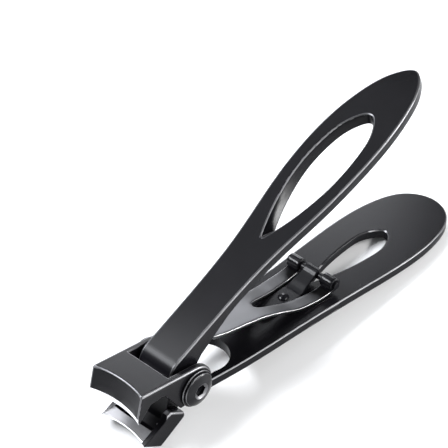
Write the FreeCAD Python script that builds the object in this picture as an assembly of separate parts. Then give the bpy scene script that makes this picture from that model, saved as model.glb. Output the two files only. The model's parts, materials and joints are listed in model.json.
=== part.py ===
import FreeCAD
import Part
import math
import os
from FreeCAD import Vector

# Crossed-lever toenail clipper, shown open.  Millimetres and degrees.
# Working frame: +X runs from the jaws to the handle ends, +Y to the nut's side, +Z up.
# The pivot axis lies along Y through (0, 0, PIVOT_HEIGHT); z = 0 is the lower handle's top face.
# Everything is modelled there with the jaws shut, the lever is then swung open, and the whole
# clipper is set down on the surface that it rests on.

# ---- driving dimensions -------------------------------------------------------------------
HEAD_WIDTH = 15.0
WALL = 1.55
HEAD_INNER = HEAD_WIDTH - 2 * WALL
PIVOT_HEIGHT = 1.0
OPEN_ANGLE = 25.2

NOSE_X = -17.2
CUT_HEIGHT = 1.2
CUT_GAP = 0.1
FACE_SAGITTA = 1.4
FACE_RADIUS = (HEAD_WIDTH ** 2 / 4 + FACE_SAGITTA ** 2) / (2 * FACE_SAGITTA)
FACE_CENTRE_X = NOSE_X + FACE_SAGITTA - FACE_RADIUS
FACE_MID_X = NOSE_X + FACE_SAGITTA
AHEAD_X = NOSE_X - 1.0

BEVEL_HEIGHT = 1.6
BEVEL_DEPTH = 0.35
NOSE_TOP_X = -16.4
NOSE_TOP_Z = 8.4
TOP_SLOPE = 7.3
TOP_PLATE = 2.0
SLOT_FRONT_X = -7.0
ARCH_TOP_Z = 4.7
WALL_FRONT_X = -4.5
ARCH_SHOULDER = (-8.3, 3.2)
ARCH_MIDDLE = (-9.1, 4.25)
NOSE_REAR_X = -10.3
BLADE_HOLLOW = 3.4
BLADE_REAR_X = -8.8
HEAD_EDGE = 0.6
NOSE_EDGE = 0.35
SLOT_EDGE = 0.3
HEEL_MIDDLE = 34.0
CAVITY_FRONT_X = -12.4
CAVITY_FRONT_Z = 4.5
ROOF_FRONT_X = -11.2
CAVITY_REAR_X = 9.0

LOWER_PLATE = 2.4
WALL_LIFT = 0.25
PLATE_START_X = 4.6
PLATE_START_HALF = 7.35
PLATE_EDGE = 0.35
LOWER_LENGTH = 90.0
LOWER_HALF_WIDTHS = [(6.5, 7.55), (12.0, 8.1), (20.0, 8.6), (36.0, 9.2), (52.0, 10.1),
                     (67.0, 10.9), (80.0, 9.7), (87.2, 6.3)]
LOWER_OPENING = [(45.2, 0.0), (50.0, 1.6), (56.5, 2.9), (63.0, 3.5), (68.5, 2.9), (72.0, 0.0)]
LOWER_RIM = 0.3
WINDOW_X = 9.7
WINDOW_RADIUS = 6.3

LEVER_WIDTH = 9.6
LEVER_PARALLEL_TO_X = 7.0
LEVER_TOP = 7.5
LEVER_PLATE = 2.9
LEVER_LENGTH = 88.8
LEVER_STRAIGHT = 50.0
LEVER_DROOP = 3.3
LEVER_NOSE_RADIUS = 5.2
LEVER_HALF_WIDTHS = [(20.0, 4.9), (30.0, 5.4), (39.0, 6.5), (48.0, 7.7), (59.0, 8.4),
                     (70.0, 8.0), (79.0, 6.4), (85.9, 3.5)]
LEVER_OPENING = [(33.8, 0.0), (38.5, 1.9), (46.0, 4.0), (55.0, 5.2), (63.5, 4.9), (69.9, 3.2),
                 (73.2, 0.0)]
LEVER_OPENING_BELOW = [(39.4, 0.0), (43.4, 1.5), (49.5, 3.2), (56.5, 4.2), (63.5, 4.0),
                       (69.0, 2.6), (72.2, 0.0)]
LEVER_BELOW_DROP = 1.2
LEVER_RIM = 0.45
OPENING_RIM = 0.4
LEVER_FRONT_X = 0.8
LEVER_SEAT = [(5.0, 2.0), (10.5, 3.1)]
LEVER_ARMPIT = (16.0, 4.25)
LEVER_UNDER_PULLS = [(-7.0, 0.0), (-6.0, -1.0)]
LEVER_PLATE_FROM_X = 23.0
BARREL_RADIUS = 3.9
WEB_PROFILE = [(-7.4, -0.2), (-9.6, -2.3), (-9.6, -3.4), (-5.4, -3.1), (-2.4, -2.2), (0.8, -2.6)]

KEEL_Z = -4.2
KEEL_BACK = 3.4
SCOOP_DEPTH = 4.0
SCOOP_FALL = 1.45
SCOOP_REAR_RUN = 1.8
SCOOP_REAR_Z = 1.8
CHEEK = 1.2
WING_PROFILE = [(-10.4, 1.1), (-8.9, 1.9), (-7.6, 1.6), (-5.1, -2.0), (-5.3, -3.5), (-13.0, -4.2)]
POCKET_PROFILE = [(-13.5, 0.6), (-12.0, -2.3), (-6.6, -2.1), (-6.6, 6.0), (-13.5, 6.0)]
JAW_EDGE = 0.6
WING_CORNER = 0.9

BARREL_BORE = 2.3
SLEEVE_RADIUS = 2.25
SLEEVE_SHORT = 0.1
SCREW_RADIUS = 1.5
RUNNING_GAP = 0.03
FLANGE_RADIUS = 4.5
FLANGE_THICK = 0.6
FASTENER_EDGE = 0.2
SCREW_HEAD_RADIUS = 4.05
SCREW_HEAD_HEIGHT = 1.5
HEAD_RIM = 0.5
SOCKET_FLATS = 2.5
SOCKET_DEPTH = 1.4
SOCKET_MOUTH_RADIUS = 2.35
SOCKET_MOUTH_DEPTH = 0.6
SOCKET_MOUTH_SHARE = 0.92
NUT_SLOT_WIDTH = 0.9
NUT_SLOT_DEPTH = 0.7
SCREW_END_Y = 4.5
NUT_BORE_END_Y = 5.5
FRICTION_RADIUS = 3.6

LEAF = 0.7
FLANK_SHARES = [0.1, 0.2, 0.35, 0.5, 0.65, 0.8, 0.9]
EYE_X = 46.2
EYE_Z = 2.4
PIN_RADIUS = 0.85
PIN_LENGTH = 14.6
EYE_RADIUS = PIN_RADIUS + RUNNING_GAP
EYE_WRAP = 285.0
EYE_APPROACH = 20.0
FORK_OUTLINE = [(3.0, 3.5), (10.0, 4.0), (24.0, 4.6), (30.0, 5.2), (36.5, 6.3), (49.0, 6.9)]
FORK_PATH = [(25.5, 3.9), (37.0, 0.95)]
FORK_TAB_INSET = 0.7
FORK_TAB_END_INSET = 1.0
FORK_BEND = [(1.05, 0.18), (2.0, -0.25)]
FORK_RIVET_AT = 2.6
FORK_RIVET_DEPTH = 2.5
FORK_NOTCH = [(25.8, 0.0), (27.2, 1.3), (31.0, 2.0), (37.0, 2.8), (44.0, 3.4), (50.0, 3.4)]
TONGUE_OUTLINE = [(27.5, 1.6), (29.0, 2.4), (38.5, 2.4), (44.0, 1.8), (49.0, 1.8)]
TONGUE_RIVET_X = 36.3
TONGUE_FLAT_TO_X = 39.2
TONGUE_RISE = (42.2, 1.6)
TONGUE_PULLS = [(3.0, 0.0), (1.0, 0.6), (2.0, 2.4)]
TONGUE_MEETS = 140.0
TONGUE_WRAP = 70.0
RIVET_RADIUS = 0.8
RIVET_HEAD_RADIUS = 1.35
RIVET_HEAD_HEIGHT = 0.75

PIVOT = Vector(0, 0, PIVOT_HEIGHT)
Y_AXIS = Vector(0, 1, 0)
Z_AXIS = Vector(0, 0, 1)

# Cutters run past what they cut by OVERRUN or CLEAR, and right through the part by FAR.
OVERRUN = 1.0
CLEAR = 6.0
FAR = 60.0

# Edges to be rounded are told apart with MARGIN, and by points within TOUCH of each other.
MARGIN = 0.1
TOUCH = 0.02

# The settling tilt is found by HALVINGS of the span from zero to TILT_LIMIT.
TILT_LIMIT = 12.0
HALVINGS = 30


# ---- helpers ------------------------------------------------------------------------------
def at(x, z, y=0.0):
    """A point of the side view."""
    return Vector(x, y, z)


def side_prism(edges, half_width):
    """The closed side-view outline made solid from -half_width to half_width."""
    face = Part.Face(Part.Wire(edges))
    face.translate(Vector(0, -half_width, 0))
    return face.extrude(Vector(0, 2 * half_width, 0))


def side_polygon(points, half_width):
    """A straight-sided side-view outline made solid."""
    corners = [at(x, z) for x, z in points]
    corners.append(corners[0])
    return side_prism(Part.makePolygon(corners).Edges, half_width)


def turned(points):
    """A side-view outline turned about the upright axis that both jaw faces are ground to."""
    corners = [at(x, z) for x, z in points]
    corners.append(corners[0])
    face = Part.Face(Part.makePolygon(corners))
    return face.revolve(at(FACE_CENTRE_X, 0), Vector(0, 0, 1), 360)


def halved_curve(points):
    """One smooth curve through all the points, as two edges that meet at its middle point."""
    curve = Part.BSplineCurve()
    curve.interpolate(points)
    middle = curve.parameter(points[len(points) // 2])
    return [curve.toShape(curve.FirstParameter, middle),
            curve.toShape(middle, curve.LastParameter)]


def leaf_outline(start_x, start_half, stations, tip_x):
    """A handle's plan outline: one smooth curve round the tip, closed straight across the front."""
    upper = [Vector(x, w, 0) for x, w in [(start_x, start_half)] + stations]
    lower = [Vector(p.x, -p.y, 0) for p in reversed(upper)]
    sides = halved_curve(upper + [Vector(tip_x, 0, 0)] + lower)
    return Part.Wire(Part.__sortEdges__(sides + [line(lower[-1], upper[0])]))


def teardrop(stations, height, grow=0.0):
    """A plan outline that is pointed in front and round behind, drawn at a height."""
    tip = Vector(stations[0][0] - 2.5 * grow, 0, height)
    back = Vector(stations[-1][0] + grow, 0, height)
    upper = [Vector(x, w + grow, height) for x, w in stations[1:-1]]
    lower = [Vector(p.x, -p.y, height) for p in reversed(upper)]
    return Part.Wire(Part.__sortEdges__(halved_curve([tip] + upper + [back] + lower + [tip])))


def teardrop_cutter(stations, levels):
    """A stack of tapering teardrops: levels holds (height, growth) pairs from the bottom up."""
    rings = [teardrop(stations, height, grow) for height, grow in levels]
    cutter = Part.makeLoft(rings[:2], True, True)
    for low, high in zip(rings[1:-1], rings[2:]):
        cutter = cutter.fuse(Part.makeLoft([low, high], True, True))
    return cutter


def upright(wire, z_low=-CLEAR, z_high=3 * CLEAR):
    """A plan outline made solid between two heights."""
    face = Part.Face(wire)
    face.translate(Vector(0, 0, z_low))
    return face.extrude(Vector(0, 0, z_high - z_low))


def cross_cylinder(radius, y_from, y_to, x=0.0, z=PIVOT_HEIGHT):
    return Part.makeCylinder(radius, y_to - y_from, Vector(x, y_from, z), Y_AXIS)


def edges_near(shape, test):
    """The edges whose middle passes the test."""
    found = []
    for edge in shape.Edges:
        first, last = edge.ParameterRange
        if test(edge.valueAt((first + last) / 2), edge):
            found.append(edge)
    return found


def near(a, b):
    return abs(a - b) < TOUCH


def arc_through(a, b, c):
    return Part.Arc(a, b, c).toShape()


def line(a, b):
    return Part.LineSegment(a, b).toShape()


# ---- lower arm: lower handle, head and upper jaw ------------------------------------------
def top_height(x):
    return NOSE_TOP_Z - math.tan(math.radians(TOP_SLOPE)) * (x - NOSE_TOP_X)


def head_block():
    """The head's full-width block: sloping top, round rear corners, arch behind the jaw.

    Its walls stop WALL_LIFT above the handle's underside, so that the handle lies flat on a plate.
    """
    slope = math.radians(TOP_SLOPE)
    heel_radius = (top_height(0) - PIVOT_HEIGHT) * math.cos(slope)
    tangent = PIVOT + Vector(heel_radius * math.sin(slope), 0, heel_radius * math.cos(slope))
    middle = math.radians(HEEL_MIDDLE)
    heel_mid = PIVOT + Vector(heel_radius * math.cos(middle), 0, heel_radius * math.sin(middle))
    foot = PIVOT + Vector(heel_radius, 0, 0)
    floor_rear = at(heel_radius, WALL_LIFT - LOWER_PLATE)
    arch_foot = at(WALL_FRONT_X, WALL_LIFT - LOWER_PLATE)
    arch_shoulder = at(*ARCH_SHOULDER)
    arch_mid = at(*ARCH_MIDDLE)
    arch_top = at(NOSE_REAR_X, ARCH_TOP_Z)
    nose_low_rear = at(NOSE_REAR_X, CUT_HEIGHT)
    nose_low = at(AHEAD_X, CUT_HEIGHT)
    nose_top = at(AHEAD_X, top_height(AHEAD_X))
    edges = [line(nose_top, tangent), arc_through(tangent, heel_mid, foot), line(foot, floor_rear),
             line(floor_rear, arch_foot), line(arch_foot, arch_shoulder),
             arc_through(arch_shoulder, arch_mid, arch_top), line(arch_top, nose_low_rear),
             line(nose_low_rear, nose_low), line(nose_low, nose_top)]
    block = side_prism(edges, HEAD_WIDTH / 2)
    edge_start = (nose_top + tangent) * 0.5
    shoulders = edges_near(block, lambda p, e: near(abs(p.y), HEAD_WIDTH / 2)
                           and near(p.x, edge_start.x))
    return block.makeFillet(HEAD_EDGE, shoulders)


def nose_face_cutter():
    """Takes the hollow front face out of the block, with the ground bevel that ends in the edge."""
    knee = (FACE_MID_X - BEVEL_DEPTH, CUT_HEIGHT + BEVEL_HEIGHT)
    top = (FACE_MID_X + NOSE_TOP_X - NOSE_X, NOSE_TOP_Z)
    reach = CLEAR / (top[1] - knee[1])
    above = (top[0] + reach * (top[0] - knee[0]), top[1] + CLEAR)
    return turned([(FACE_CENTRE_X, -CLEAR), (FACE_MID_X, -CLEAR), (FACE_MID_X, CUT_HEIGHT), knee,
                   above, (FACE_CENTRE_X, above[1])])


def blade_cutter():
    """The hollow behind the upper blade, turned so that the cutting edge stays level."""
    return turned([(FACE_MID_X, CUT_HEIGHT), (FACE_MID_X + BLADE_HOLLOW, ARCH_TOP_Z),
                   (BLADE_REAR_X, ARCH_TOP_Z), (BLADE_REAR_X, -CLEAR), (FACE_MID_X, -CLEAR)])


def head_cavity():
    """The space between the side walls, under the top plate and open above behind the slot."""
    roof = TOP_PLATE / math.cos(math.radians(TOP_SLOPE))
    above = NOSE_TOP_Z + CLEAR
    points = [(CAVITY_FRONT_X, CAVITY_FRONT_Z), (ROOF_FRONT_X, top_height(ROOF_FRONT_X) - roof),
              (SLOT_FRONT_X, top_height(SLOT_FRONT_X) - roof), (SLOT_FRONT_X, above),
              (CAVITY_REAR_X, above), (CAVITY_REAR_X, -CLEAR), (CAVITY_FRONT_X, -CLEAR)]
    return side_polygon(points, HEAD_INNER / 2)


def lower_handle():
    """The flat leaf-shaped handle with its pointed finger opening and the lever's window."""
    outline = leaf_outline(PLATE_START_X, PLATE_START_HALF, LOWER_HALF_WIDTHS, LOWER_LENGTH)
    plate = upright(outline, -LOWER_PLATE, 0)
    rims = edges_near(plate, lambda p, e: e.Length > LOWER_LENGTH / 2)
    plate = plate.makeFillet(PLATE_EDGE, rims)
    under = -LOWER_PLATE
    spread = OVERRUN + LOWER_RIM
    cutter = teardrop_cutter(LOWER_OPENING, [(under - OVERRUN, spread), (under + LOWER_RIM, 0),
                                             (-LOWER_RIM, 0), (OVERRUN, spread)])
    return plate.cut(cutter)


def lever_window():
    """The lever's way through the plate: a slot as wide as the head's inside, round behind."""
    slot = Part.makeBox(WINDOW_X + CLEAR, HEAD_INNER, 2 * CLEAR,
                        Vector(-CLEAR, -HEAD_INNER / 2, -CLEAR))
    round_end = Part.makeCylinder(WINDOW_RADIUS, 2 * CLEAR, Vector(WINDOW_X, 0, -CLEAR))
    return slot.fuse(round_end)


def tongue_rivet_hole():
    return Part.makeCylinder(RIVET_RADIUS, 2 * CLEAR, Vector(TONGUE_RIVET_X, 0, -CLEAR))


def head():
    """The head with its hollow front face, its insides cut out and the edges of both rounded."""
    block = head_block().cut(nose_face_cutter())
    nose = edges_near(block, lambda p, e: p.x < CAVITY_FRONT_X
                      and p.z > CUT_HEIGHT + BEVEL_HEIGHT + MARGIN)
    block = block.makeFillet(NOSE_EDGE, nose).cut(blade_cutter()).cut(head_cavity())
    slot = edges_near(block, lambda p, e: near(p.z, top_height(p.x))
                      and (near(p.x, SLOT_FRONT_X) or near(abs(p.y), HEAD_INNER / 2)))
    heels = edges_near(block, lambda p, e: near(abs(p.y), HEAD_INNER / 2)
                       and p.x > 0 and p.z > PIVOT_HEIGHT + MARGIN)
    return block.makeFillet(SLOT_EDGE, slot + heels)


def lower_arm():
    body = head().fuse(lower_handle()).cut(lever_window())
    bore = cross_cylinder(SLEEVE_RADIUS + RUNNING_GAP, -FAR, FAR)
    return body.cut(bore).cut(tongue_rivet_hole()).removeSplitter()


# ---- upper lever: upper handle, web through the slot, barrel and lower jaw -------------------
def lever_arm():
    """The upper handle: a leaf cut from a bar that bends gently down towards its end."""
    radius = ((LEVER_LENGTH - LEVER_STRAIGHT) ** 2 + LEVER_DROOP ** 2) / (2 * LEVER_DROOP)
    centre = at(LEVER_STRAIGHT, PIVOT_HEIGHT + LEVER_TOP - radius)

    def on_bend(angle, drop):
        reach = radius - drop
        return centre + Vector(reach * math.sin(angle), 0, reach * math.cos(angle))

    full = (LEVER_LENGTH + CLEAR - LEVER_STRAIGHT) / radius
    top = PIVOT_HEIGHT + LEVER_TOP
    seat = [at(x, PIVOT_HEIGHT + z) for x, z in LEVER_SEAT]
    under = [at(LEVER_PLATE_FROM_X, top - LEVER_PLATE),
             at(LEVER_ARMPIT[0], PIVOT_HEIGHT + LEVER_ARMPIT[1]), seat[1]]
    curve = Part.BSplineCurve()
    pulls = [at(x, z) for x, z in LEVER_UNDER_PULLS] + [seat[0] - seat[1]]
    curve.interpolate(under, Tangents=pulls, TangentFlags=[True, False, True])
    front = [at(LEVER_FRONT_X, PIVOT_HEIGHT), at(LEVER_FRONT_X, top)]
    edges = [line(front[1], on_bend(0, 0)),
             arc_through(on_bend(0, 0), on_bend(full / 2, 0), on_bend(full, 0)),
             line(on_bend(full, 0), on_bend(full, LEVER_PLATE)),
             arc_through(on_bend(full, LEVER_PLATE), on_bend(full / 2, LEVER_PLATE),
                         on_bend(0, LEVER_PLATE)),
             line(on_bend(0, LEVER_PLATE), under[0]), curve.toShape(), line(seat[1], seat[0]),
             line(seat[0], front[0]), line(front[0], front[1])]
    bar = side_prism(edges, HEAD_WIDTH)
    stations = [(LEVER_PARALLEL_TO_X, LEVER_WIDTH / 2)] + LEVER_HALF_WIDTHS
    outline = leaf_outline(0.0, LEVER_WIDTH / 2, stations, LEVER_LENGTH)
    arm = bar.common(upright(outline, -CLEAR, top + CLEAR))
    rims = edges_near(arm, lambda p, e: p.x > LEVER_STRAIGHT and e.Length > LEVER_PLATE + OVERRUN)
    arm = arm.makeFillet(LEVER_RIM, rims)
    low = top - LEVER_PLATE - LEVER_BELOW_DROP
    rings = [teardrop(LEVER_OPENING_BELOW, low), teardrop(LEVER_OPENING, top)]
    below = upright(rings[0], 0, -CLEAR)
    above = upright(rings[1], 0, CLEAR)
    arm = arm.cut(Part.makeLoft(rings, True, True)).cut(below).cut(above)
    first_x, last_x = LEVER_OPENING[0][0], LEVER_OPENING[-1][0]
    rims = edges_near(arm, lambda p, e: first_x < p.x < last_x and abs(p.y) < LEVER_HALF_WIDTHS[1][1]
                      and p.z > top - LEVER_PLATE + MARGIN and e.Length > LEVER_PLATE)
    return arm.makeFillet(OPENING_RIM, rims)


def lever_web():
    """The thick part that passes down through the slot: round nose, barrel and jaw root."""
    top = PIVOT_HEIGHT + LEVER_TOP
    nose_centre = at(LEVER_FRONT_X, top - LEVER_NOSE_RADIUS)
    diagonal = LEVER_NOSE_RADIUS * math.sqrt(0.5)
    start = at(LEVER_FRONT_X, top)
    middle = nose_centre + Vector(-diagonal, 0, diagonal)
    end = nose_centre + Vector(-LEVER_NOSE_RADIUS, 0, 0)
    points = [end] + [at(x, z) for x, z in WEB_PROFILE] + [start]
    edges = [arc_through(start, middle, end)]
    edges += [line(a, b) for a, b in zip(points[:-1], points[1:])]
    web = side_prism(edges, LEVER_WIDTH / 2)
    corners = edges_near(web, lambda p, e: near(abs(p.y), LEVER_WIDTH / 2)
                         and near((p - nose_centre - Vector(0, p.y, 0)).Length, LEVER_NOSE_RADIUS))
    web = web.makeFillet(LEVER_RIM, corners)
    return web.fuse(cross_cylinder(BARREL_RADIUS, -LEVER_WIDTH / 2, LEVER_WIDTH / 2))


def jaw_scoop():
    """The lower jaw: a scoop with a sharp lip and a keel, between cheeks that end in wings."""
    lip_z = CUT_HEIGHT - CUT_GAP
    block = side_polygon([(AHEAD_X, lip_z)] + WING_PROFILE + [(AHEAD_X, KEEL_Z)], HEAD_WIDTH / 2)
    corners = edges_near(block, lambda p, e: near(p.y, 0) and p.x > WING_PROFILE[1][0] + MARGIN)
    block = block.makeFillet(WING_CORNER, corners)
    sides = edges_near(block, lambda p, e: near(abs(p.y), HEAD_WIDTH / 2) and p.z < lip_z - MARGIN
                       and p.x > AHEAD_X + MARGIN)
    block = block.makeFillet(JAW_EDGE, sides)
    back = KEEL_BACK + OVERRUN * KEEL_BACK / (lip_z - KEEL_Z)
    below = KEEL_Z - OVERRUN
    front = turned([(FACE_CENTRE_X, CLEAR), (FACE_MID_X, CLEAR), (FACE_MID_X, lip_z),
                    (FACE_MID_X + back, below), (FACE_CENTRE_X, below)])
    scoop_rear_x = FACE_MID_X + SCOOP_DEPTH + SCOOP_REAR_RUN
    inside = turned([(FACE_MID_X, lip_z), (FACE_MID_X + SCOOP_DEPTH, lip_z - SCOOP_FALL),
                     (scoop_rear_x, SCOOP_REAR_Z), (scoop_rear_x, CLEAR), (FACE_MID_X, CLEAR)])
    between = side_polygon([(AHEAD_X, KEEL_Z), (0, KEEL_Z), (0, CLEAR), (AHEAD_X, CLEAR)],
                           HEAD_WIDTH / 2 - CHEEK)
    pocket = side_polygon(POCKET_PROFILE, HEAD_INNER / 2)
    return block.cut(front).cut(inside.common(between)).cut(pocket)


def upper_lever():
    lever = lever_arm().fuse(lever_web()).fuse(jaw_scoop())
    bore = cross_cylinder(BARREL_BORE, -FAR, FAR)
    return lever.cut(bore).removeSplitter()


def swing_open(shape):
    """From jaws shut to fully open, about the pivot axis."""
    opened = shape.copy()
    opened.rotate(PIVOT, Y_AXIS, -OPEN_ANGLE)
    return opened


# ---- pivot hardware -------------------------------------------------------------------------
def ring(outer, inner, y_from, y_to):
    return cross_cylinder(outer, y_from, y_to).cut(cross_cylinder(inner, y_from - OVERRUN, y_to + OVERRUN))


def domed_head(y_seat, side):
    """A low button head with a domed face, standing out from y_seat to the given side."""
    rise = SCREW_HEAD_HEIGHT - HEAD_RIM
    radius = (SCREW_HEAD_RADIUS ** 2 + rise ** 2) / (2 * rise)
    start = y_seat if side > 0 else y_seat - SCREW_HEAD_HEIGHT
    blank = cross_cylinder(SCREW_HEAD_RADIUS, start, start + SCREW_HEAD_HEIGHT)
    centre = PIVOT + Vector(0, y_seat + side * (SCREW_HEAD_HEIGHT - radius), 0)
    head = blank.common(Part.makeSphere(radius, centre))
    return rounded_rim(head, SCREW_HEAD_RADIUS, y_seat + side * HEAD_RIM)


def rounded_rim(shape, radius, y):
    """The shape with its circular edge of that radius at that y rounded off."""
    rim = edges_near(shape, lambda p, e: near(math.hypot(p.x, p.z - PIVOT_HEIGHT), radius)
                     and near(p.y, y))
    return shape.makeFillet(FASTENER_EDGE, rim)


def flange_washer(side):
    """Sits between a screw head and the outside of one side wall."""
    wall = side * HEAD_WIDTH / 2
    outside = wall + side * FLANGE_THICK
    washer = ring(FLANGE_RADIUS, SLEEVE_RADIUS + RUNNING_GAP, min(wall, outside), max(wall, outside))
    return rounded_rim(washer, FLANGE_RADIUS, outside)


def friction_washer(side):
    """Fills the gap between the lever and one side wall."""
    inner = LEVER_WIDTH / 2 + RUNNING_GAP
    outer = HEAD_INNER / 2 - RUNNING_GAP
    low, high = (inner, outer) if side > 0 else (-outer, -inner)
    return ring(FRICTION_RADIUS, SLEEVE_RADIUS + RUNNING_GAP, low, high)


def hexagon_socket(y_mouth, side):
    """A hexagon hole with a conical mouth, cut inwards from y_mouth."""
    corner = SOCKET_FLATS / math.sqrt(3)
    angles = [math.radians(60 * i) for i in range(7)]
    points = [PIVOT + Vector(corner * math.cos(a), y_mouth, corner * math.sin(a)) for a in angles]
    hexagon = Part.Face(Part.makePolygon(points)).extrude(Y_AXIS * (-side * SOCKET_DEPTH))
    mouth = Part.makeCone(SOCKET_MOUTH_RADIUS, corner * SOCKET_MOUTH_SHARE, SOCKET_MOUTH_DEPTH,
                          PIVOT + Vector(0, y_mouth, 0), Y_AXIS * -side)
    return hexagon.fuse(mouth)


def pivot_screw():
    seat = -HEAD_WIDTH / 2 - FLANGE_THICK
    head = domed_head(seat, -1).cut(hexagon_socket(seat - SCREW_HEAD_HEIGHT, -1))
    return head.fuse(cross_cylinder(SCREW_RADIUS, seat, SCREW_END_Y))


def pivot_nut():
    """A sleeve nut: its barrel is the axle that the lever turns on."""
    seat = HEAD_WIDTH / 2 + FLANGE_THICK
    sleeve = cross_cylinder(SLEEVE_RADIUS, SLEEVE_SHORT - seat, seat)
    bore = cross_cylinder(SCREW_RADIUS + RUNNING_GAP, -FAR, NUT_BORE_END_Y)
    slot_y = seat + SCREW_HEAD_HEIGHT - NUT_SLOT_DEPTH
    slot = Part.makeBox(2 * FAR, NUT_SLOT_DEPTH, NUT_SLOT_WIDTH,
                        PIVOT + Vector(-FAR, slot_y, -NUT_SLOT_WIDTH / 2))
    return domed_head(seat, 1).cut(slot).fuse(sleeve).cut(bore)


# ---- springs --------------------------------------------------------------------------------
def side_of(edge, share):
    """The point at a share of a side-view edge's length, and the direction square to it there."""
    first, last = edge.ParameterRange
    place = first + share * (last - first)
    tangent = edge.tangentAt(place)
    return edge.valueAt(place), Vector(-tangent.z, 0, tangent.x)


def flank(edge, start, end, reach):
    """The curve that runs beside an edge at the given reach, from start to end."""
    if isinstance(edge.Curve, Part.Line):
        return line(start, end)
    inner = [side_of(edge, share) for share in FLANK_SHARES]
    points = [point + square * reach for point, square in inner]
    if isinstance(edge.Curve, Part.Circle):
        return arc_through(start, points[len(points) // 2], end)
    leaving, arriving = [Vector(square.z, 0, -square.x)
                         for square in (side_of(edge, 0)[1], side_of(edge, 1)[1])]
    curve = Part.BSplineCurve()
    curve.interpolate([start] + points + [end],
                      Tangents=[leaving] * (len(points) + 1) + [arriving],
                      TangentFlags=[True] + [False] * len(points) + [True])
    return curve.toShape()


def strip(path, half_width):
    """A leaf of spring steel: the side-view path of its middle, thickened and made wide."""
    joints = [side_of(path[0], 0)]
    for before, after in zip(path[:-1], path[1:]):
        point, square = side_of(before, 1)
        joints.append((point, (square + side_of(after, 0)[1]).normalize()))
    joints.append(side_of(path[-1], 1))
    edges = []
    for reach in (LEAF / 2, -LEAF / 2):
        places = [point + square * reach for point, square in joints]
        for edge, start, end in zip(path, places[:-1], places[1:]):
            edges.append(flank(edge, start, end, reach))
    for point, square in (joints[0], joints[-1]):
        edges.append(line(point + square * (LEAF / 2), point - square * (LEAF / 2)))
    return side_prism(Part.__sortEdges__(edges), half_width)


def on_eye(angle):
    """A point of the leaf's middle where it is wrapped round the pin."""
    radius = EYE_RADIUS + LEAF / 2
    return at(EYE_X + radius * math.cos(math.radians(angle)),
              EYE_Z + radius * math.sin(math.radians(angle)))


def mirrored_outline(stations):
    """A plan outline through straight-joined stations, closed across both ends."""
    upper = [Vector(x, w, 0) for x, w in stations]
    lower = [Vector(x, -w, 0) for x, w in reversed(stations) if w > 0]
    return Part.makePolygon(upper + lower + [upper[0]])


def smooth_outline(stations):
    """The same with a smooth curve along each side."""
    upper = [Vector(x, w, 0) for x, w in stations]
    lower = [Vector(x, -w, 0) for x, w in reversed(stations)]
    sides = []
    for points in (upper, lower):
        curve = Part.BSplineCurve()
        curve.interpolate(points)
        sides.append(curve.toShape())
    return Part.Wire([sides[0], line(upper[-1], lower[0]), sides[1], line(lower[-1], upper[0])])


def notch_outline(stations):
    """A notch that is round at its closed end and open at the other."""
    upper = [Vector(x, w, 0) for x, w in stations[1:]]
    lower = [Vector(x, -w, 0) for x, w in reversed(stations[1:])]
    curve = Part.BSplineCurve()
    curve.interpolate(lower + [Vector(stations[0][0], 0, 0)] + upper)
    return Part.Wire([curve.toShape(), line(upper[-1], lower[0])])


def opened_point(x, z):
    """A point given beside the shut lever, where it is once the lever has swung open."""
    turn = math.radians(OPEN_ANGLE)
    return at(x * math.cos(turn) - z * math.sin(turn),
              PIVOT_HEIGHT + x * math.sin(turn) + z * math.cos(turn))


def fork_spring():
    """The lever's leaf: a short tab under the lever, a bend, and two prongs that end in eyes."""
    seat_front, seat_rear = [opened_point(x, z) for x, z in LEVER_SEAT]
    along = (seat_rear - seat_front).normalize()
    away = Vector(along.z, 0, -along.x)
    tab_front = seat_front + along * FORK_TAB_INSET + away * (LEAF / 2)
    tab_rear = seat_rear - along * FORK_TAB_END_INSET + away * (LEAF / 2)
    bend_mid, bend_end = [tab_rear + at(x, z) for x, z in FORK_BEND]
    bend = arc_through(tab_rear, bend_mid, bend_end)
    leaf = Part.BSplineCurve()
    start = EYE_APPROACH - 90
    leaf.interpolate([bend_end] + [at(x, z) for x, z in FORK_PATH] + [on_eye(start)])
    eye = arc_through(on_eye(start), on_eye(start + EYE_WRAP / 2), on_eye(start + EYE_WRAP))
    blank = strip([line(tab_front, tab_rear), bend, leaf.toShape(), eye], HEAD_WIDTH)
    return (blank.common(upright(smooth_outline(FORK_OUTLINE)))
            .cut(upright(notch_outline(FORK_NOTCH))))


def tongue_spring():
    """The lower handle's leaf: flat under its rivet, then up and over the pin."""
    flat = LEAF / 2
    foot = at(TONGUE_FLAT_TO_X, flat)
    hook = arc_through(on_eye(TONGUE_MEETS), on_eye(TONGUE_MEETS - TONGUE_WRAP / 2),
                       on_eye(TONGUE_MEETS - TONGUE_WRAP))
    rise = Part.BSplineCurve()
    rise.interpolate([foot, at(*TONGUE_RISE), on_eye(TONGUE_MEETS)],
                     Tangents=[at(x, z) for x, z in TONGUE_PULLS],
                     TangentFlags=[True, False, True])
    blank = strip([line(at(TONGUE_OUTLINE[0][0], flat), foot), rise.toShape(), hook], HEAD_WIDTH)
    return blank.common(upright(mirrored_outline(TONGUE_OUTLINE)))


def spring_pin():
    length = PIN_LENGTH / 2
    return cross_cylinder(PIN_RADIUS, -length, length, EYE_X, EYE_Z)


def dome(base, direction):
    """A low rivet head standing on base."""
    radius = (RIVET_HEAD_RADIUS ** 2 + RIVET_HEAD_HEIGHT ** 2) / (2 * RIVET_HEAD_HEIGHT)
    blank = Part.makeCylinder(RIVET_HEAD_RADIUS + OVERRUN, RIVET_HEAD_HEIGHT, base, direction)
    return blank.common(Part.makeSphere(radius, base + direction * (RIVET_HEAD_HEIGHT - radius)))


def tongue_rivet():
    base = Vector(TONGUE_RIVET_X, 0, LEAF)
    shank = Part.makeCylinder(RIVET_RADIUS, LEAF + LOWER_PLATE, base, -Z_AXIS)
    return dome(base, Z_AXIS).fuse(shank)


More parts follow.
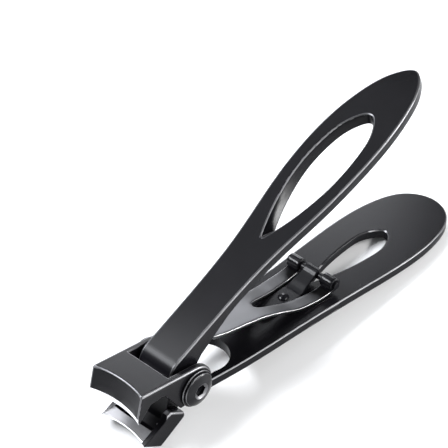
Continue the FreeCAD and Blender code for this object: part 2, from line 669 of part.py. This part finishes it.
def fork_rivet_line():
    """The fork rivet's seat point and its direction away from the open lever."""
    front, rear = [opened_point(x, z) for x, z in LEVER_SEAT]
    along = (rear - front).normalize()
    return front + along * FORK_RIVET_AT, Vector(along.z, 0, -along.x)


def fork_rivet():
    seat, away = fork_rivet_line()
    shank = Part.makeCylinder(RIVET_RADIUS, FORK_RIVET_DEPTH + LEAF,
                              seat - away * FORK_RIVET_DEPTH, away)
    return dome(seat + away * LEAF, away).fuse(shank)


def fork_rivet_hole():
    seat, away = fork_rivet_line()
    return Part.makeCylinder(RIVET_RADIUS, FORK_RIVET_DEPTH + 2 * LEAF,
                             seat - away * FORK_RIVET_DEPTH, away)


# ---- assembly -------------------------------------------------------------------------------
def settle(parts):
    """Tips the open clipper onto its keel and handle end, then centres it on the origin."""
    low, high = 0.0, TILT_LIMIT
    for _ in range(HALVINGS):
        tilt = (low + high) / 2
        heights = []
        for name in ("upper_lever", "lower_arm"):
            shape = parts[name].copy()
            shape.rotate(PIVOT, Y_AXIS, tilt)
            heights.append(shape.optimalBoundingBox(False, False).ZMin)
        if heights[0] < heights[1]:
            low = tilt
        else:
            high = tilt
    for shape in parts.values():
        shape.rotate(PIVOT, Y_AXIS, tilt)
    boxes = [shape.optimalBoundingBox(False, False) for shape in parts.values()]
    middle = (min(b.XMin for b in boxes) + max(b.XMax for b in boxes)) / 2
    move = Vector(-middle, 0, -min(b.ZMin for b in boxes))
    for shape in parts.values():
        shape.translate(move)
    print("tilt", round(tilt, 4), "pivot", PIVOT + move, "move", move)
    return parts


def build():
    parts = {}
    parts["lower_arm"] = lower_arm()
    parts["upper_lever"] = swing_open(upper_lever()).cut(fork_rivet_hole())
    parts["pivot_screw"] = pivot_screw()
    parts["pivot_nut"] = pivot_nut()
    for name, side in (("near", -1), ("far", 1)):
        parts[name + "_flange_washer"] = flange_washer(side)
        parts[name + "_friction_washer"] = friction_washer(side)
    parts["fork_spring"] = fork_spring().cut(fork_rivet_hole())
    parts["fork_spring_rivet"] = fork_rivet()
    parts["tongue_spring"] = tongue_spring().cut(tongue_rivet_hole())
    parts["tongue_spring_rivet"] = tongue_rivet()
    parts["spring_pin"] = spring_pin()
    return settle(parts)


os.makedirs("parts", exist_ok=True)
for part_name, part_shape in build().items():
    print(part_name, part_shape.isValid(), len(part_shape.Solids), round(part_shape.Volume, 2))
    part_shape.exportStep(os.path.join("parts", part_name + ".step"))
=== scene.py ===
import json
import math

import bmesh
import bpy
from mathutils import Matrix, Vector

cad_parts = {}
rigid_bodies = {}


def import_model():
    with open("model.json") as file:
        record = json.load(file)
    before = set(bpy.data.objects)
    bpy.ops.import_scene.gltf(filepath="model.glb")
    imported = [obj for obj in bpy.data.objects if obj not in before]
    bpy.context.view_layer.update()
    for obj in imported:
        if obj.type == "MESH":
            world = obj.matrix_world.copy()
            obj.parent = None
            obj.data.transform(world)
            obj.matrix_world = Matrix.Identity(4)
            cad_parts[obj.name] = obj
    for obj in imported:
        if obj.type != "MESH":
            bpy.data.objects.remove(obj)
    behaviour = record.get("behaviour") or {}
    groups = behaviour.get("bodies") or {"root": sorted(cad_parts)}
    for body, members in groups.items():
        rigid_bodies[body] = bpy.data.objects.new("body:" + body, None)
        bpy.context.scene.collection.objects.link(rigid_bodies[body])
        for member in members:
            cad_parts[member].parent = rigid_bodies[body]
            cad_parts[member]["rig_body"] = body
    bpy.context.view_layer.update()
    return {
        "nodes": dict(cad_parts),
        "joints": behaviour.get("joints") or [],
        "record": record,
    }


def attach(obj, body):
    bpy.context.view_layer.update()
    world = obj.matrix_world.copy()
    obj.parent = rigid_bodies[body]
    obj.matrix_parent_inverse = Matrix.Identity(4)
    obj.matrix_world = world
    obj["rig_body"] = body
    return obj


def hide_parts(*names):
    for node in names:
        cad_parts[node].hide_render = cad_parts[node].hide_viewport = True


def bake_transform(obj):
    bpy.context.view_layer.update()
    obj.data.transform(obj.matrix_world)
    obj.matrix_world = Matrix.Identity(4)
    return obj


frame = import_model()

MM = 0.001
scene = bpy.context.scene

# ---- the clipper's design frame -------------------------------------------------------------
# Design points are in millimetres: x runs from the pivot to the handle ends, z is 0 on the lower
# handle's top. The row frame holds the same points tilted, because the open clipper rests on its
# lower jaw's keel and the end of the lower handle. The record gives the pivot and the tilt.
JOINT = frame["joints"][0]
PIVOT = Vector(JOINT["pos_m"]) / MM
UNDERSIDE = frame["record"]["mounts"][0]["axis"]
TILT = math.atan2(-UNDERSIDE[0], -UNDERSIDE[2])
PIVOT_HEIGHT = 1.0
OPEN_ANGLE = math.radians(JOINT["range_deg"][1])
SLOTS = {s["node"]: s["material_slot"] for s in frame["record"]["subparts"]}


def place(x, y, z):
    """A design point in the row frame, in metres."""
    z -= PIVOT_HEIGHT
    return Vector((x * math.cos(TILT) + z * math.sin(TILT) + PIVOT.x, y,
                   -x * math.sin(TILT) + z * math.cos(TILT) + PIVOT.z)) * MM


def tilted(v):
    """A direction of the design frame in the row frame."""
    c, s = math.cos(TILT), math.sin(TILT)
    return Vector((v[0] * c + v[2] * s, v[1], -v[0] * s + v[2] * c))


def design(p):
    """A row-frame point (millimetres) back in the design frame."""
    v = p - PIVOT
    c, s = math.cos(TILT), math.sin(TILT)
    return Vector((v.x * c - v.z * s, v.y, v.x * s + v.z * c + PIVOT_HEIGHT))


def opened(x, z):
    """A side-view point given on the shut lever, where it is once the lever is open."""
    c, s = math.cos(OPEN_ANGLE), math.sin(OPEN_ANGLE)
    return (x * c - z * s, PIVOT_HEIGHT + x * s + z * c)


def shut(p):
    """A row-frame point of the open lever (millimetres) in the design frame with the lever shut."""
    v = design(p)
    v.z -= PIVOT_HEIGHT
    c, s = math.cos(OPEN_ANGLE), math.sin(OPEN_ANGLE)
    return Vector((v.x * c + v.z * s, v.y, -v.x * s + v.z * c + PIVOT_HEIGHT))


# ---- camera, floor and lights ---------------------------------------------------------------
CAMERA_AT = (-269.4, -263.0, 332.1)
CAMERA_RIGHT = (0.6891, -0.7244, 0.0202)
CAMERA_BACK = (-0.5821, -0.5367, 0.6108)
CAMERA_LENS = 184.9
SENSOR_WIDTH = 36.0

FLOOR_HALF = 3
FLOOR_TONE = 0.94
SKY_TINT = (0.95, 0.97, 1)
SKY_STRENGTH = 0.28
COOL = (0.94, 0.96, 1.0)
WHITE = (1, 1, 1)
CLIPPER_MIDDLE = (0, 0, 0.01)
LEVER_NOSE = (-0.036, 0, 0.018)


def clear_stage():
    scene.view_settings.view_transform = "Standard"
    for old in [o for o in scene.objects if o.type in ("CAMERA", "LIGHT")]:
        bpy.data.objects.remove(old)


def add_camera():
    right = tilted(CAMERA_RIGHT)
    back = tilted(CAMERA_BACK).normalized()
    right = (right - back * right.dot(back)).normalized()
    up = back.cross(right)
    data = bpy.data.cameras.new("photo_camera")
    data.sensor_width = SENSOR_WIDTH
    data.lens = CAMERA_LENS
    data.clip_start, data.clip_end = 0.01, 10.0
    cam = bpy.data.objects.new("photo_camera", data)
    scene.collection.objects.link(cam)
    turn = Matrix((right, up, back)).transposed().to_4x4()
    cam.matrix_world = Matrix.Translation(place(*CAMERA_AT)) @ turn
    scene.camera = cam


def new_material(name):
    mat = bpy.data.materials.new(name)
    mat.use_nodes = True
    return mat, mat.node_tree, mat.node_tree.nodes["Principled BSDF"]


def add_floor():
    """A plain sheet of pale, dull paper."""
    r = FLOOR_HALF
    mesh = bpy.data.meshes.new("floor")
    mesh.from_pydata([(-r, -r, 0), (r, -r, 0), (r, r, 0), (-r, r, 0)], [], [(0, 1, 2, 3)])
    obj = bpy.data.objects.new("floor", mesh)
    scene.collection.objects.link(obj)
    mat, _, bsdf = new_material("floor_paper")
    bsdf.inputs["Base Color"].default_value = (FLOOR_TONE, FLOOR_TONE, FLOOR_TONE, 1)
    bsdf.inputs["Roughness"].default_value = 0.7
    bsdf.inputs["Specular IOR Level"].default_value = 0.15
    mesh.materials.append(mat)


def add_area(name, spot, target, size, radiance, tint=WHITE):
    """A rectangular panel at the spot that faces the target. The camera doesn't see the panel."""
    data = bpy.data.lights.new(name, "AREA")
    data.shape = "RECTANGLE"
    data.size, data.size_y = size
    data.energy = radiance * math.pi * size[0] * size[1]
    data.color = tint
    lamp = bpy.data.objects.new(name, data)
    lamp.location = Vector(spot)
    lamp.rotation_euler = (Vector(target) - Vector(spot)).to_track_quat("-Z", "Y").to_euler()
    lamp.visible_camera = False
    scene.collection.objects.link(lamp)


def add_panel(name, toward, distance, size, radiance, tint=WHITE):
    """A panel that the clipper sees in the direction "toward"."""
    spot = Vector(CLIPPER_MIDDLE) + Vector(toward).normalized() * distance
    add_area(name, spot, CLIPPER_MIDDLE, size, radiance, tint)


def add_sky():
    world = bpy.data.worlds.new("studio")
    scene.world = world
    world.use_nodes = True
    back = world.node_tree.nodes["Background"]
    back.inputs["Color"].default_value = (*SKY_TINT, 1)
    back.inputs["Strength"].default_value = SKY_STRENGTH


def add_lights():
    """Each panel is where one group of glossy faces mirrors the camera's line of sight."""
    add_sky()
    # the head's top, the lower handle's top and the fork leaf
    add_area("panel_behind_right", (0.190, 0.175, 0.108), CLIPPER_MIDDLE, (0.11, 0.10), 9.5, COOL)
    # the lever's curved nose, the hollow nose of the head and the lower blade's scoop
    add_panel("panel_behind_left", (-0.50, 0.52, 0.68), 0.8, (0.45, 0.20), 32.0, COOL)
    # the lever's flat top, then the highlight that fades up it from its nose
    add_panel("panel_overhead", (0.02, 0.52, 0.85), 1.2, (0.8, 0.5), 1.9, COOL)
    add_area("panel_near_lever", (-0.058, 0.045, 0.092), LEVER_NOSE, (0.03, 0.03), 13.0, COOL)
    # the near edges, the screw and the head's near wall; it also lights the floor in front
    add_panel("strip_in_front", (0.30, -0.72, 0.60), 1.0, (1.0, 0.08), 34.0)
    # the wall of the lever's opening
    add_panel("panel_low_right", (0.72, -0.69, 0.05), 0.8, (0.16, 0.10), 75.0)
    # the lower halves of the near edges
    add_panel("strip_low_front", (0.42, -0.86, 0.12), 0.8, (1.1, 0.15), 11.0)


# ---- materials ------------------------------------------------------------------------------
CLOUD_SCALE = 90.0
CLOUD_DETAIL = 4.0
GRAIN_SCALE = 14000.0
GRAIN_DETAIL = 2.0
GRAIN_STRENGTH = 0.03
GRAIN_DEPTH = 0.02 * MM
DARK_SHARE = 0.8
LIGHT_SHARE = 1.25
TONE_SPAN = (0.3, 0.7)
SOFTENED_EDGE = 0.3 * MM
SOFTENING_SAMPLES = 6

# painted light and shade along the fork leaf: lighter at its root, darker towards its prongs
FORK_LIGHT_X = -0.022
FORK_DARK_X = 0.008
FORK_FALL = (0.75, 0.1)
FORK_CLOUD_SHARE = 0.3
FORK_DARK = (0.014, 0.014, 0.015, 1)
FORK_LIGHT = (0.06, 0.06, 0.063, 1)


def add_noise(nodes, links, where, scale, detail):
    noise = nodes.new("ShaderNodeTexNoise")
    noise.inputs["Scale"].default_value = scale
    noise.inputs["Detail"].default_value = detail
    links.new(where.outputs["Object"], noise.inputs["Vector"])
    return noise


def finish(name, colour, roughness, spread, specular=0.2, metallic=0.0):
    """A coating or a bare metal with cloudy tone, uneven gloss, a fine grain and soft edges."""
    mat, tree, bsdf = new_material(name)
    nodes, links = tree.nodes, tree.links
    where = nodes.new("ShaderNodeTexCoord")
    cloud = add_noise(nodes, links, where, CLOUD_SCALE, CLOUD_DETAIL)
    grain = add_noise(nodes, links, where, GRAIN_SCALE, GRAIN_DETAIL)

    tone = nodes.new("ShaderNodeValToRGB")
    for stop, position, share in zip(tone.color_ramp.elements, TONE_SPAN, (DARK_SHARE, LIGHT_SHARE)):
        stop.position = position
        stop.color = (*[c * share for c in colour], 1)
    links.new(cloud.outputs["Fac"], tone.inputs["Fac"])
    links.new(tone.outputs["Color"], bsdf.inputs["Base Color"])

    gloss = nodes.new("ShaderNodeMapRange")
    gloss.inputs["To Min"].default_value = roughness - spread
    gloss.inputs["To Max"].default_value = roughness + spread
    links.new(cloud.outputs["Fac"], gloss.inputs["Value"])
    links.new(gloss.outputs["Result"], bsdf.inputs["Roughness"])

    soft = nodes.new("ShaderNodeBevel")
    soft.samples = SOFTENING_SAMPLES
    soft.inputs["Radius"].default_value = SOFTENED_EDGE
    relief = nodes.new("ShaderNodeBump")
    relief.inputs["Strength"].default_value = GRAIN_STRENGTH
    relief.inputs["Distance"].default_value = GRAIN_DEPTH
    links.new(grain.outputs["Fac"], relief.inputs["Height"])
    links.new(soft.outputs["Normal"], relief.inputs["Normal"])
    links.new(relief.outputs["Normal"], bsdf.inputs["Normal"])

    bsdf.inputs["Specular IOR Level"].default_value = specular
    bsdf.inputs["Metallic"].default_value = metallic
    return mat


def paint_shade_along_fork(mat):
    """Painted light and shade: the fork leaf's tone falls off from a painted-light root towards
    painted shade on its prongs.
    """
    nodes, links = mat.node_tree.nodes, mat.node_tree.links
    tone = next(n for n in nodes if n.type == "VALTORGB")
    cloud = tone.inputs["Fac"].links[0].from_node
    where = cloud.inputs["Vector"].links[0].from_node
    split = nodes.new("ShaderNodeSeparateXYZ")
    fall = nodes.new("ShaderNodeMapRange")
    fall.inputs["From Min"].default_value = FORK_LIGHT_X
    fall.inputs["From Max"].default_value = FORK_DARK_X
    fall.inputs["To Min"].default_value, fall.inputs["To Max"].default_value = FORK_FALL
    both = nodes.new("ShaderNodeMath")
    both.operation = "MULTIPLY_ADD"
    both.inputs[1].default_value = FORK_CLOUD_SHARE
    links.new(where.outputs["Object"], split.inputs["Vector"])
    links.new(split.outputs["X"], fall.inputs["Value"])
    links.new(cloud.outputs["Fac"], both.inputs[0])
    links.new(fall.outputs["Result"], both.inputs[2])
    links.new(both.outputs["Value"], tone.inputs["Fac"])
    tone.color_ramp.elements[0].color = FORK_DARK
    tone.color_ramp.elements[1].color = FORK_LIGHT


def make_finishes():
    """A finish for each node's material slot, and three of bare metal for single faces."""
    made = {
        "black_coated_steel": finish("black_coating", (0.0042, 0.0041, 0.0052), 0.26, 0.03,
                                     specular=0.1),
        "black_fastener": finish("black_fastener", (0.004, 0.004, 0.005), 0.17, 0.03,
                                 specular=0.16),
        "black_spring_steel": finish("black_spring_steel", (0.0045, 0.0045, 0.0055), 0.25, 0.04,
                                     specular=0.12),
        "spring_steel": finish("spring_steel", (0.055, 0.055, 0.058), 0.36, 0.05, metallic=1.0),
        "washer_steel": finish("washer_steel", (0.4, 0.4, 0.42), 0.3, 0.05, metallic=1.0),
        # worn edges: metal where the coating is rubbed through, made bright enough that it also
        # paints highlight lines along the rounded edges
        "worn_highlight_edge": finish("worn_highlight_edge", (0.125, 0.125, 0.13), 0.35, 0.04, metallic=1.0),
        # sheared leaf edges: bare steel, also bright enough to paint highlight lines
        "sheared_highlight_edge": finish("sheared_highlight_edge", (0.45, 0.45, 0.46), 0.3, 0.04, metallic=1.0),
        "ground_blade": finish("ground_blade_steel", (0.78, 0.78, 0.80), 0.42, 0.05, metallic=1.0),
    }
    paint_shade_along_fork(made["spring_steel"])
    return made


# ---- which faces of a CAD solid are ground, or worn with a painted highlight (design frame, lever shut, millimetres) ----
COATED, GROUND, WORN_HIGHLIGHT = 0, 1, 2

CUT_HEIGHT = 1.2
MARGIN = 0.1
HEAD_WIDTH = 15.0
ABOVE_UNDERSIDE = -2.2

BEVEL_HEIGHT = 1.6
BEVEL_REAR_X = -15.0
BEVEL_LEAN = -0.5

SCOOP_REAR_X = -11.0
SCOOP_LOW_Z = -1.0
SCOOP_UPWARD = 0.6
SCOOP_LEAN = 0.05
CHEEK_TOP_REAR_X = -12.0
CHEEK_REAR_X = -11.5
CHEEK_INSET = 0.5
CHEEK_SIDEWAYS = 0.9

LEVER_STRAIGHT = 50.0
LEVER_BEND_RADIUS = 229.7
OPENING_END_X = 60.0
OPENING_END_LEAN = -0.3

ROUNDED_WIDTH = 0.4
GRAZING = 0.985
UPRIGHT = 0.12
OPENING_UPRIGHT = 0.42
GAP_AREA = 1.0
GAP_SHARE = 0.45

RIM_REACH = 3.7
RIM_LEAN = (0.15, 0.86)
SOCKET_REACH = 2.2
SOCKET_LEAN = (0.2, 0.95)


def face_in(f, to_frame):
    """A face's middle and its direction, in the frame that to_frame turns points into."""
    v = f.calc_center_median() / MM
    return to_frame(v), to_frame(v + f.normal) - to_frame(v)


def on_upper_bevel(v, n):
    """The ground bevel along the upper blade's cutting edge."""
    in_band = CUT_HEIGHT - MARGIN < v.z < CUT_HEIGHT + BEVEL_HEIGHT
    return in_band and v.x < BEVEL_REAR_X and n.x < BEVEL_LEAN


def in_lower_scoop(v, n):
    """The ground hollow behind the lower blade: floor, inner cheeks and the far cheek's top."""
    cheek_top = v.x < CHEEK_TOP_REAR_X and v.y > 0
    floor = n.z > SCOOP_UPWARD and (n.x > SCOOP_LEAN or cheek_top)
    inward = abs(n.y) > CHEEK_SIDEWAYS and n.y * v.y < 0
    cheek = inward and abs(v.y) < HEAD_WIDTH / 2 - CHEEK_INSET and v.x < CHEEK_REAR_X
    return (floor or cheek) and v.x < SCOOP_REAR_X and SCOOP_LOW_Z < v.z < CUT_HEIGHT + MARGIN


def is_narrow(f):
    return 2 * f.calc_area() / max(e.calc_length() for e in f.edges) < ROUNDED_WIDTH * MM


def on_arm_rounding(f, v, n):
    """The lower arm's rounded edges, apart from those against what it lies on."""
    return is_narrow(f) and UPRIGHT < abs(n.z) < GRAZING and v.z > ABOVE_UNDERSIDE


def on_lever_rounding(f, v, n):
    """The lever's upper rounded edges, whose lean follows its bend. Its underside stays coated."""
    lean = max(v.x - LEVER_STRAIGHT, 0) / LEVER_BEND_RADIUS
    upward = n.x * math.sin(lean) + n.z * math.cos(lean)
    in_opening = n.y * v.y < 0 or (n.x < OPENING_END_LEAN and v.x > OPENING_END_X)
    least = OPENING_UPRIGHT if in_opening else UPRIGHT
    return is_narrow(f) and least < upward < GRAZING and v.z > ABOVE_UNDERSIDE


def on_fastener_rounding(f, v, n):
    """The rounded rims of the screw heads and washers, and the conical mouth of the socket."""
    reach = math.hypot(v.x, v.z - PIVOT_HEIGHT)
    rim = is_narrow(f) and reach > RIM_REACH and RIM_LEAN[0] < abs(n.y) < RIM_LEAN[1]
    mouth = reach < SOCKET_REACH and SOCKET_LEAN[0] < abs(n.y) < SOCKET_LEAN[1] and v.y < 0
    return rim or mouth


# the worn faces (upward rounded edges, fastener rims, the socket's near mouth) are partly wear and
# partly painted highlight
IS_GROUND = {"lower_arm": on_upper_bevel, "upper_lever": in_lower_scoop}
IS_WORN_HIGHLIGHT = {"lower_arm": on_arm_rounding, "upper_lever": on_lever_rounding,
           "pivot_screw": on_fastener_rounding, "pivot_nut": on_fastener_rounding,
           "near_flange_washer": on_fastener_rounding, "far_flange_washer": on_fastener_rounding}


def fill_gaps(bm):
    """A small coated facet that lies mostly between facets of a worn edge, with its painted
    highlight, gets that finish too.
    """
    gaps = []
    for f in bm.faces:
        if f.material_index != COATED or f.calc_area() > GAP_AREA * MM ** 2:
            continue
        worn = sum(e.calc_length() for e in f.edges
                   if any(g is not f and g.material_index == WORN_HIGHLIGHT for g in e.link_faces))
        if worn > GAP_SHARE * f.calc_perimeter():
            gaps.append(f)
    for f in gaps:
        f.material_index = WORN_HIGHLIGHT


def mark_faces(bm, node):
    for f in bm.faces:
        v, n = face_in(f, shut if node == "upper_lever" else design)
        f.material_index = COATED
        if node in IS_WORN_HIGHLIGHT and IS_WORN_HIGHLIGHT[node](f, v, n):
            f.material_index = WORN_HIGHLIGHT
        if node in IS_GROUND and IS_GROUND[node](v, n):
            f.material_index = GROUND
    fill_gaps(bm)


# ---- pieces made from the CAD solids --------------------------------------------------------
WELD = 0.0015 * MM
FLAT_ANGLE = math.radians(0.1)
CREASE = math.cos(math.radians(34))
LARGE_FACE = 2.0


def facets_by_corner(mesh):
    """For each vertex, the faces that meet there, each with its angle at that corner."""
    corners = {}
    for p in mesh.polygons:
        count = len(p.vertices)
        for k, i in enumerate(p.vertices):
            here = mesh.vertices[i].co
            before = mesh.vertices[p.vertices[k - 1]].co - here
            after = mesh.vertices[p.vertices[(k + 1) % count]].co - here
            corners.setdefault(i, []).append((p.index, before.angle(after, 0.0)))
    return corners


def set_normals(mesh):
    """Smooth shading in which large flat faces stay flat right up to their rounded edges."""
    for p in mesh.polygons:
        p.use_smooth = True
    corners = facets_by_corner(mesh)
    faces = [(p.normal.copy(), p.area / MM ** 2) for p in mesh.polygons]
    normals = []
    for p in mesh.polygons:
        own = faces[p.index][0]
        for i in p.vertices:
            rounded, flat = Vector(), Vector()
            for index, angle in corners[i]:
                direction, area = faces[index]
                if own.dot(direction) > CREASE:
                    rounded += direction * angle
                    if area > LARGE_FACE:
                        flat += direction * area
            chosen = flat if flat.length > 0 else rounded
            normals.append(chosen.normalized() if chosen.length > 0 else own)
    mesh.normals_split_custom_set(normals)


def dressed_copy(node, finishes):
    """A copy of a CAD solid with its flat facets joined, smooth shading and its own finishes."""
    source = frame["nodes"][node]
    mesh = source.data.copy()
    mesh.name = node + "_skin"
    mesh.materials.clear()
    for name in (SLOTS[node], "ground_blade", "worn_highlight_edge"):
        mesh.materials.append(finishes[name])
    bm = bmesh.new()
    bm.from_mesh(mesh)
    bmesh.ops.remove_doubles(bm, verts=bm.verts, dist=WELD)
    bmesh.ops.dissolve_limit(bm, angle_limit=FLAT_ANGLE, use_dissolve_boundaries=False,
                             verts=bm.verts, edges=bm.edges)
    for e in bm.edges:
        e.smooth = True
    mark_faces(bm, node)
    bm.to_mesh(mesh)
    bm.free()
    obj = bpy.data.objects.new(node + "_finished", mesh)
    scene.collection.objects.link(obj)
    if mesh.has_custom_normals:
        mesh.attributes.remove(mesh.attributes["custom_normal"])
    set_normals(mesh)
    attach(obj, source["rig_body"])
    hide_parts(node)


# ---- fork spring: one leaf that bends between the lever and its pin ----------------------------
LEAF = 0.7
SEAT = [(5.0, 2.0), (10.5, 3.1)]
TAB_INSET = 0.7
TAB_STEPS = 12
BEND = Vector((2.0, 0, -0.25))
BEND_IN = 2.2
BEND_OUT = Vector((1.8, 0, -1.1))
BEND_STEPS = 12

EYE = (46.2, 2.4)
EYE_RADIUS = 0.88 + LEAF / 2
EYE_START = -70
EYE_TURN = 285
EYE_STEPS = 72

LEAF_KNOTS = [Vector((25.5, 0, 3.9)), Vector((37.0, 0, 0.95))]
LEAF_SLOPES = [Vector((14.0, 0, -4.4)), Vector((13.6, 0, -3.3)), Vector((11.4, 0, -1.0)),
               Vector((9.4, 0, 3.4))]
LEAF_STEPS = (60, 46, 40)

OUTLINE = [(3.0, 3.5), (10.0, 4.0), (24.0, 4.6), (30.0, 5.2), (36.5, 6.3), (49.0, 6.9)]
NOTCH = [(25.8, 0.0), (26.2, 0.75), (27.2, 1.3), (31.0, 2.0), (37.0, 2.8), (44.0, 3.4),
         (50.0, 3.4)]
ACROSS = 5

SHARP = math.radians(50)
SHEARED_WIDTH = 0.13 * MM
# the leaf's steel, its sheared edges (bare metal with painted highlight) and its eyes (painted shade
# in gloss black)
LEAF_FINISHES = ("spring_steel", "sheared_highlight_edge", "black_fastener")
SHEARED_HIGHLIGHT, EYE_SHADE_FACE = 1, 2
BLEND_START = (9.0, 0, 7.5)
BLEND_END = (31.0, 0, 7.5)


def hermite(p0, m0, p1, m1, t):
    """The cubic from p0 to p1 that leaves along m0 and arrives along m1, at t from 0 to 1."""
    return ((2 * t ** 3 - 3 * t ** 2 + 1) * p0 + (t ** 3 - 2 * t ** 2 + t) * m0
            + (3 * t ** 2 - 2 * t ** 3) * p1 + (t ** 3 - t ** 2) * m1)


def hermite_points(p0, m0, p1, m1, count):
    return [hermite(p0, m0, p1, m1, i / count) for i in range(count)]


def width_at(stations, x):
    """A smooth curve through (x, width) stations."""
    if x <= stations[0][0]:
        return stations[0][1]
    if x >= stations[-1][0]:
        return stations[-1][1]
    i = max(k for k in range(len(stations) - 1) if stations[k][0] <= x)
    slopes = []
    for k in (i, i + 1):
        a, b = max(k - 1, 0), min(k + 1, len(stations) - 1)
        slopes.append((stations[b][1] - stations[a][1]) / (stations[b][0] - stations[a][0]))
    (x0, v0), (x1, v1) = stations[i], stations[i + 1]
    h = x1 - x0
    return hermite(v0, h * slopes[0], v1, h * slopes[1], (x - x0) / h)


def eye_point(degrees):
    a = math.radians(degrees)
    return Vector((EYE[0] + EYE_RADIUS * math.cos(a), 0, EYE[1] + EYE_RADIUS * math.sin(a)))


def fork_path():
    """The middle of the leaf in the side view: tab under the lever, bend, leaf, rolled eye."""
    front, rear = [Vector((x, 0, z)) for x, z in (opened(*SEAT[0]), opened(*SEAT[1]))]
    along = (rear - front).normalized()
    away = Vector((along.z, 0, -along.x))
    tab_front = front + along * TAB_INSET + away * (LEAF / 2)
    tab_rear = rear - along + away * (LEAF / 2)
    bend_end = tab_rear + BEND
    points = [tab_front.lerp(tab_rear, i / TAB_STEPS) for i in range(TAB_STEPS)]
    points += hermite_points(tab_rear, along * BEND_IN, bend_end, BEND_OUT, BEND_STEPS)
    knots = [bend_end, *LEAF_KNOTS, eye_point(EYE_START)]
    for k, count in enumerate(LEAF_STEPS):
        points += hermite_points(knots[k], LEAF_SLOPES[k], knots[k + 1], LEAF_SLOPES[k + 1], count)
    points += [eye_point(EYE_START + EYE_TURN * i / EYE_STEPS) for i in range(EYE_STEPS + 1)]
    return points


def leaf_rows(bm, path):
    """Vertices across the leaf, from the notch outwards: rows[step along, face, hand].
    In front of the notch the two hands share their middle vertex."""
    made, rows = {}, {}
    for i, p in enumerate(path):
        ahead, behind = path[min(i + 1, len(path) - 1)], path[max(i - 1, 0)]
        tangent = (ahead - behind).normalized()
        square = Vector((-tangent.z, 0, tangent.x))
        outer, inner = width_at(OUTLINE, p.x), max(width_at(NOTCH, p.x), 0.0)
        for hand in (1, -1):
            for face in (1, -1):
                row = []
                for j in range(ACROSS + 1):
                    y = hand * (inner + (outer - inner) * j / ACROSS)
                    shared = j == 0 and inner == 0.0
                    key = (i, face, 0) if shared else (i, face, hand * (j + 1))
                    if key not in made:
                        q = p + square * (face * LEAF / 2)
                        made[key] = bm.verts.new(place(q.x, y, q.z))
                    row.append(made[key])
                rows[i, face, hand] = row
    return rows


def add_quad(bm, corners, flip):
    bm.faces.new(corners[::-1] if flip else corners)


def add_leaf_faces(bm, rows, path):
    """Top, bottom, outer edge and notch edge of both hands, and the leaf's two ends."""
    last = len(path) - 1
    for hand in (1, -1):
        for i in range(last):
            for face in (1, -1):
                low, high = rows[i, face, hand], rows[i + 1, face, hand]
                for j in range(ACROSS):
                    add_quad(bm, (low[j], high[j], high[j + 1], low[j + 1]), hand * face < 0)
            top, bottom = rows[i, 1, hand], rows[i, -1, hand]
            top2, bottom2 = rows[i + 1, 1, hand], rows[i + 1, -1, hand]
            add_quad(bm, (top[-1], top2[-1], bottom2[-1], bottom[-1]), hand < 0)
            if width_at(NOTCH, path[i + 1].x) > 0:
                add_quad(bm, (top[0], bottom[0], bottom2[0], top2[0]), hand < 0)
        for i, flip in ((0, hand > 0), (last, hand < 0)):
            top, bottom = rows[i, 1, hand], rows[i, -1, hand]
            for j in range(ACROSS):
                add_quad(bm, (top[j], top[j + 1], bottom[j + 1], bottom[j]), flip)


def round_leaf_edges(bm):
    """The leaf's sheared edges, slightly rounded, in bare metal made bright enough to paint
    highlight lines along them.
    """
    sharp = [e for e in bm.edges if len(e.link_faces) == 2 and e.calc_face_angle(0) > SHARP]
    made = bmesh.ops.bevel(bm, geom=sharp, offset=SHEARED_WIDTH, offset_type="OFFSET", segments=2,
                           profile=0.6, affect="EDGES", clamp_overlap=True)
    for f in made["faces"]:
        f.material_index = SHEARED_HIGHLIGHT
    bmesh.ops.dissolve_degenerate(bm, dist=0.0005 * MM, edges=bm.edges)


# the rolled eyes are the same spring steel as the leaf; the gloss black finish on them is painted
# shade
def paint_eyes_shaded(bm):
    for f in bm.faces:
        v = design(f.calc_center_median() / MM)
        if (v.x - EYE[0]) ** 2 + (v.z - EYE[1]) ** 2 < (EYE_RADIUS + LEAF) ** 2:
            f.material_index = EYE_SHADE_FACE


def add_fork_spring(finishes):
    path = fork_path()
    bm = bmesh.new()
    add_leaf_faces(bm, leaf_rows(bm, path), path)
    bmesh.ops.remove_doubles(bm, verts=bm.verts, dist=0.001 * MM)
    bmesh.ops.recalc_face_normals(bm, faces=bm.faces)
    round_leaf_edges(bm)
    paint_eyes_shaded(bm)
    mesh = bpy.data.meshes.new("fork_leaf")
    bm.to_mesh(mesh)
    bm.free()
    obj = bpy.data.objects.new("fork_spring_leaf", mesh)
    scene.collection.objects.link(obj)
    for name in LEAF_FINISHES:
        mesh.materials.append(finishes[name])
    for p in mesh.polygons:
        p.use_smooth = True
    weighted = obj.modifiers.new("flat_faces_stay_flat", "WEIGHTED_NORMAL")
    weighted.weight = 50
    weighted.keep_sharp = True
    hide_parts("fork_spring")
    place(*BLEND_START)
    place(*BLEND_END)
    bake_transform(obj)


# ---- the scene ------------------------------------------------------------------------------
clear_stage()
add_camera()
add_floor()
add_lights()

finishes = make_finishes()
for node in frame["nodes"]:
    if node != "fork_spring":
        dressed_copy(node, finishes)
add_fork_spring(finishes)
